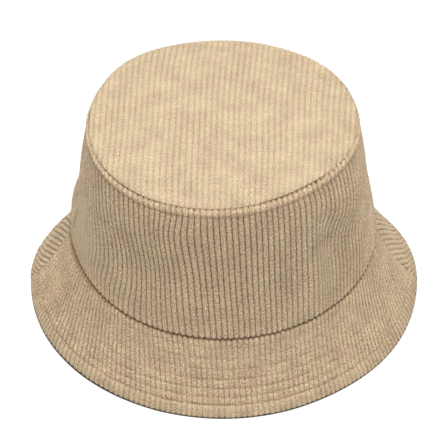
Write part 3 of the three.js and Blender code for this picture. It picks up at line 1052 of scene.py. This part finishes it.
def brim_under_panel(side, turn):
    """Half of the brim's under cloth. It rolls round the edge and shows below the corduroy."""
    cut = BRIM_CUTS[side]
    local = np.linspace(-PANEL_END, PANEL_END, UNDER_COLUMNS)
    edge = BRIM_CURVE.length
    phi = local + turn
    roll = column(np.linspace(0, math.pi, 9))
    bead = [
        shown + (hidden - shown) * bead_hiding(phi)
        for shown, hidden in zip(BEAD_SHOWN, BEAD_HIDDEN)
    ]
    bead[0] = bead[0] - 0.35 * near(phi, *FULL_BEAD)
    face = np.linspace(edge - 5, 4, 88)
    distance = join_rows(
        column([-9.0, 3.0, edge / 2, edge - 6, edge - 2.2, edge - 1.6]) + 0 * phi,
        edge - bead[0] - EDGE_BEAD * np.cos(roll),
        column(edge + np.array([-0.35, -1.0, -1.55, -2.35, -3.15, -4.0])) + 0 * phi,
        column(join_rows(face, [2.0, 0.0, -4.0, -9.0])) + 0 * phi,
    )
    across, along = cut.at(distance, local)
    quilted = UNDER_FACE - 0.42 * row_dents(column(face), 0.9)
    depth = join_rows(
        column([3.1, UNDER_TOP, UNDER_TOP, UNDER_TOP, 2.4, 1.75]) + 0 * phi,
        bead[1] - EDGE_BEAD * np.sin(roll),
        column([0.3, 0.95, 1.6, 2.75, 3.7, UNDER_FACE]) + 0 * phi,
        quilted + 0 * phi, column([UNDER_FACE, UNDER_FACE, UNDER_FACE, 3.95]) + 0 * phi,
    )
    uneven = 0.14 * ripple(across, along, 8, 51) * (distance < edge - 6) * (depth > 3.2)
    piece = plain_panel(
        f"brim_under_{side}", "under_cloth", BRIM_CURVE, cut, distance, depth + uneven, local, turn,
    )
    cut.flat()


def layered(outer_depth, thickness, rows):
    """Depths of a flat layer: its outer face going down, then its inner face coming up."""
    return column(join_rows(np.full(rows, outer_depth), np.full(rows, outer_depth + thickness)))


def down_and_back(top, foot, rows):
    face = np.linspace(top, foot, rows)
    return column(join_rows(face, face[::-1]))


INTERLINING_INSET = (5, 6)  # how far it ends short of the headline and the edge


def interlining_panel(side, turn):
    """Half of the stiffener between the brim's two cloths."""
    cut = BRIM_CUTS[side]
    local = np.linspace(-PANEL_END + 0.03, PANEL_END - 0.03, 180)
    inset_top, inset_edge = INTERLINING_INSET
    distance = down_and_back(inset_top, BRIM_CURVE.length - inset_edge, 30)
    depth = layered(CORDUROY + SEAM_GAP, INTERLINING, 30)
    piece = plain_panel(
        f"brim_interlining_{side}", "interlining", BRIM_CURVE, cut, distance, depth, local, turn,
    )
    cut.flat()


# ---- Inside of the hat ----

LINING_TIP_SHORT = 2.9  # the lining's tip ends this far inside the crown's
LINING_BAND_START = 3.1


def lining_tip_panel():
    """The lining's round top, hanging a little slack under the crown's tip."""
    phi = np.linspace(0, 2 * math.pi, 240, endpoint=False)
    rim = TIP_CURVE.length - LINING_TIP_SHORT
    distance = down_and_back(0.8, rim, 64)
    x, y = distance * np.sin(phi), -distance * np.cos(phi)
    slack = 1.6 * (1 - (distance / rim) ** 2)
    slack = slack + 0.35 * ripple(x, y, 34, 61) * (1 - (distance / rim) ** 6)
    points = place(TIP_CURVE, distance, layered(LINING_TOP, LINING, 64) + slack, phi)
    piece = dome_mesh("lining_tip", "lining_cloth", points, {"grain": grain_of(x, y, x)})


def lining_band_panel(side, turn):
    """Half of the lining's side, with soft upright folds."""
    cut = BAND_CUTS["back"]
    local = np.linspace(-PANEL_END, PANEL_END, 300)
    foot = BAND_CURVE.length - 2
    distance = down_and_back(LINING_BAND_START, foot, 60)
    middle = np.sin(math.pi * (distance - LINING_BAND_START) / (foot - LINING_BAND_START))
    folds = 0.5 * middle * ripple((local + turn) * HEAD_RADIUS, 0.25 * distance, 26, 62)
    folds = folds * step_at(foot - distance, SWEATBAND_HEIGHT, 6)
    depth = layered(LINING_TOP, LINING, 60) + folds
    piece = plain_panel(
        f"lining_band_{side}", "lining_cloth", BAND_CURVE, cut, distance, depth, local, turn,
    )
    cut.flat()


def sweatband_strip():
    """The sweatband, butted at the centre back, drawn in along its stitched lower edge."""
    phi = np.linspace(-math.pi + 0.002, math.pi - 0.002, 900)
    foot = BAND_CURVE.length
    distance = down_and_back(foot - SWEATBAND_HEIGHT, foot - 0.2, 44)
    row = bump_at(distance, foot - SWEATBAND_STITCH_RISE, 0.9)
    upper_edge = bump_at(distance, foot - SWEATBAND_HEIGHT, 0.8)
    girth = phi * HEAD_RADIUS
    waves = 0.15 + 0.12 * ripple(girth, distance, 17, 71) - 0.25 * row - 0.15 * upper_edge
    depth = layered(SWEATBAND_TOP, SWEATBAND, 44) + waves
    points = place(BAND_CURVE, distance, depth, phi)
    grain = grain_of(girth, distance, girth)
    piece = grid_mesh("sweatband", "sweatband_cloth", points, {"grain": grain})


LABEL_MARGIN = 0.06  # share of the label's width that is folded under at each end
LABEL_HEIGHT = label_high[2] - label_low[2]
LABEL_RISE = 8.0


def care_label():
    """A blank woven label, its ends folded under and sewn down."""
    half_turn = (label_high[0] - label_low[0]) / 2 / (HEAD_RADIUS - LABEL_FACE)
    share = np.linspace(-1, 1, 90)
    phi = math.pi + share * half_turn
    foot = BAND_CURVE.length - LABEL_RISE
    distance = down_and_back(foot - LABEL_HEIGHT, foot, 48)
    level = (distance - foot + LABEL_HEIGHT) / LABEL_HEIGHT
    bow = 0.05 + 0.7 * (1 - share ** 2) * np.sin(math.pi * level)
    folded = 1 + 0.4 * np.exp(-((1 - np.abs(share)) / LABEL_MARGIN) ** 2)
    depth = LABEL_TOP + layered(0, LABEL, 48) * folded + bow
    girth = share * half_turn * HEAD_RADIUS
    points = place(BAND_CURVE, distance, depth, phi)
    grain = grain_of(girth, distance, girth)
    piece = grid_mesh("care_label", "label_cloth", points, {"grain": grain})
    label_stitches(half_turn, foot)


def label_stitches(half_turn, foot):
    pieces = []
    for side, sign in (("left", -1), ("right", 1)):
        line = stitch_line(
            BAND_CURVE, foot - LABEL_HEIGHT + 1, foot - 1, LABEL_FACE + 0.25,
            math.pi + sign * half_turn * 0.9,
        )
        pieces.append(thread_mesh(f"label_stitch_{side}", "label_thread", [line]))
    return pieces


# ---- Threads ----

def topstitching():
    """The row below the tip seam and the rows round the brim, needle side and bobbin side."""
    crown_row = stitch_row(BAND_CURVE, TIP_STITCH_DROP, 0.60, 1)
    thread_mesh("tip_topstitch", "topstitch_thread", [crown_row])
    for row, distance in enumerate(BRIM_ROW_DISTANCES, start=1):
        needle = stitch_row(BRIM_CURVE, distance, 0.42, 1)
        bobbin = stitch_row(BRIM_CURVE, distance, UNDER_FACE - 0.32, -1)
        thread_mesh(f"brim_stitch_{row}", "topstitch_thread", [needle, bobbin])
    inner = stitch_row(
        BAND_CURVE, BAND_CURVE.length - SWEATBAND_STITCH_RISE, SWEATBAND_FACE + 0.05, -1
    )
    thread_mesh("sweatband_stitch", "sweatband_thread", [inner])


# ---- Studio ----

CAMERA_ELEVATION = math.radians(40.2)
CAMERA_DISTANCE = 2.145
CAMERA_LENS = 289.8
CAMERA_TARGET = Vector((0.0004, 0.0, 0.0477))


def make_camera():
    """A long lens, a little above the front of the hat."""
    data = bpy.data.cameras.new("camera")
    data.lens = CAMERA_LENS
    data.sensor_width = 36
    data.clip_end = 20
    camera = new_object("camera", data)
    back = Vector((0, -math.cos(CAMERA_ELEVATION), math.sin(CAMERA_ELEVATION)))
    camera.location = CAMERA_TARGET + CAMERA_DISTANCE * back
    camera.rotation_euler = (-back).to_track_quat("-Z", "Y").to_euler()
    bpy.context.scene.camera = camera


def area_light(name, position, size, power):
    data = bpy.data.lights.new(name, "AREA")
    data.shape = "DISK"
    data.size = size
    data.energy = power
    light = new_object(name, data)
    light.location = position
    light.rotation_euler = (-Vector(position)).to_track_quat("-Z", "Y").to_euler()
    light.visible_camera = False


def make_floor():
    """A pale, glowing studio floor that can be seen through from below."""
    reach = 6.0
    mesh = bpy.data.meshes.new("floor")
    corners = [(-reach, -reach, 0), (reach, -reach, 0), (reach, reach, 0), (-reach, reach, 0)]
    mesh.from_pydata(corners, [], [(0, 1, 2, 3)])
    floor = new_object("floor", mesh)
    material, tree, shader = new_material("floor", 0.9, 0.0)
    set_inputs(tree, shader, {
        "Base Color": (0.10, 0.10, 0.10, 1), "Specular IOR Level": 0.0,
        "Emission Color": (1, 1, 1, 1), "Emission Strength": 1.0,
    })
    side = add(tree, "ShaderNodeNewGeometry").outputs["Backfacing"]
    clear = add(tree, "ShaderNodeBsdfTransparent").outputs["BSDF"]
    mix = add(tree, "ShaderNodeMixShader", {0: side, 1: shader.outputs["BSDF"], 2: clear})
    tree.links.new(mix.outputs["Shader"], tree.nodes["Material Output"].inputs["Surface"])
    mesh.materials.append(material)


def make_light():
    """A wide overhead light in a dim room that is brighter above than at the sides."""
    world = bpy.data.worlds.new("world")
    world.use_nodes = True
    tree = world.node_tree
    upward = add(tree, "ShaderNodeSeparateXYZ", {
        "Vector": add(tree, "ShaderNodeTexCoord").outputs["Generated"]
    }).outputs["Z"]
    sky = tone_ramp(tree, upward, ((0.0, (0.08, 0.08, 0.08)), (1.0, (0.60, 0.60, 0.60))))
    tree.links.new(sky, tree.nodes["Background"].inputs["Color"])
    bpy.context.scene.world = world
    area_light("top_light", (0.05, -0.10, 2.2), 1.3, 46)
    bpy.context.scene.view_settings.view_transform = "Standard"


make_camera()
tip_panel()
for half, start_turn in HALVES:
    band_panel(half, start_turn)
    brim_top_panel(half, start_turn)
    interlining_panel(half, start_turn)
    brim_under_panel(half, start_turn)
    lining_band_panel(half, start_turn)
lining_tip_panel()
sweatband_strip()
care_label()
topstitching()
make_floor()
make_light()
